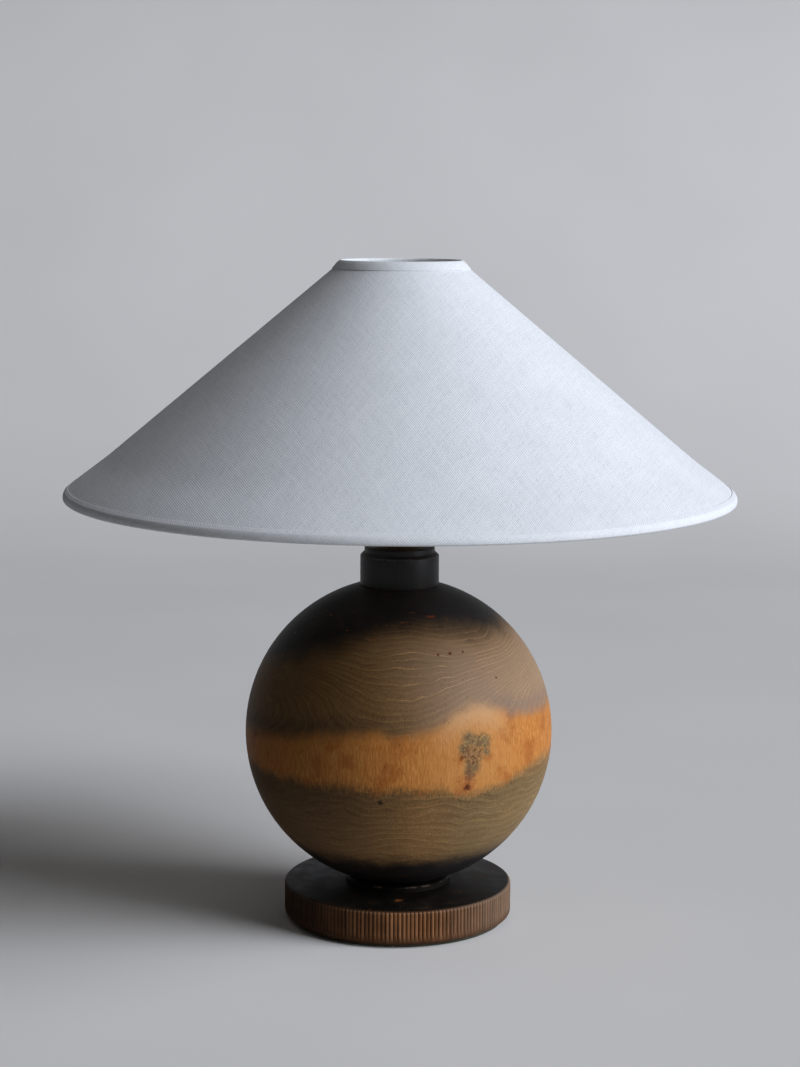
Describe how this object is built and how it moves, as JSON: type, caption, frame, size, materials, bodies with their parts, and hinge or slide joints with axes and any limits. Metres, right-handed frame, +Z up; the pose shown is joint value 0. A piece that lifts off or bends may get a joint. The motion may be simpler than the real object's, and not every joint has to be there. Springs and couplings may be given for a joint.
{
  "type": "table lamp",
  "caption": "Table lamp with a turned wooden globe on a reeded disc base, a black collar, a switched lampholder and a wide white linen cone shade.",
  "frame": {"origin": "on the table, in the middle of the felt pad's underside, on the axis of the turned pieces", "axes": "+Z up along the turned axis; the front of the lamp faces -Y, the cord inlet is at the back on +Y, and the switch knob points along +X"},
  "size_m": [0.4, 0.4, 0.3992],
  "materials": {
    "felt": "matt wool felt",
    "turned_wood": "charred and waxed, satin",
    "base_wood": "charred and waxed, satin",
    "black_wood": "black stain, satin",
    "brass": "satin",
    "steel": "zinc plated",
    "porcelain": "glazed",
    "bakelite": "moulded, satin",
    "inlet_rubber": "matt",
    "white_wire": "white powder coat",
    "shade_board": "matt white",
    "linen": "fine weave, matt",
    "tape": "woven tape, matt",
    "opal_glass": "opal",
    "clear_glass": "clear",
    "black_glass": "fused black glass",
    "bulb_metal": "bright pressed",
    "solder": "dull solder",
    "phosphor": "satin"
  },
  "bodies": {
    "lamp_body": {"base_felt": "felt", "base_disc": "base_wood", "cord_bush": "inlet_rubber", "base_washer": "steel", "base_nut": "steel", "threaded_tube": "brass", "globe": "turned_wood", "collar": "black_wood", "collar_nut": "brass", "holder_cap": "brass", "grub_screw": "steel", "porcelain_block": "porcelain", "terminal_screws": "brass", "centre_contact": "brass", "screw_contact": "brass", "porcelain_sleeve": "porcelain", "holder_sleeve": "brass", "switch_bush": "brass", "switch_leaves": "brass", "lower_shade_ring": "bakelite"},
    "shade": {"fitter_ring": "white_wire", "fitter_arms": "white_wire", "top_wire_ring": "white_wire", "bottom_wire_ring": "white_wire", "shade_lining": "shade_board", "shade_linen": "linen", "top_binding": "tape", "bottom_binding": "tape"},
    "clamp_ring": {"upper_shade_ring": "bakelite"},
    "switch_key": {"switch_spindle": "steel", "switch_rotor": "bakelite", "switch_knob": "bakelite"},
    "bulb_contact": {"bulb_tip": "solder"},
    "bulb": {"bulb_insulator": "black_glass", "bulb_screw_cap": "bulb_metal", "bulb_glass": "opal_glass", "bulb_stem": "clear_glass", "bulb_filament": "phosphor"}
  },
  "joints": [
    {"name": "shade_swivel", "type": "hinge", "parent": "lamp_body", "child": "shade", "pos_m": [0, 0, 0.2736], "axis": [0, 0, 1], "continuous": true},
    {"name": "clamp_ring_turn", "type": "hinge", "parent": "lamp_body", "child": "clamp_ring", "pos_m": [0, 0, 0.2774], "axis": [0, 0, 1], "range_deg": [0, 90]},
    {"name": "switch_turn", "type": "hinge", "parent": "lamp_body", "child": "switch_key", "pos_m": [0, 0, 0.25381], "axis": [1, 0, 0], "continuous": true},
    {"name": "bulb_rise", "type": "slide", "parent": "lamp_body", "child": "bulb_contact", "axis": [0, 0, 1], "range_m": [0, 0.01633]},
    {"name": "bulb_turn", "type": "hinge", "parent": "bulb_contact", "child": "bulb", "pos_m": [0, 0, 0.28], "axis": [0, 0, 1], "range_deg": [0, 1620]}
  ],
  "couplings": [
    {"joint": "bulb_turn", "follows": "bulb_rise", "rad_per_m": 1730.9}
  ]
}
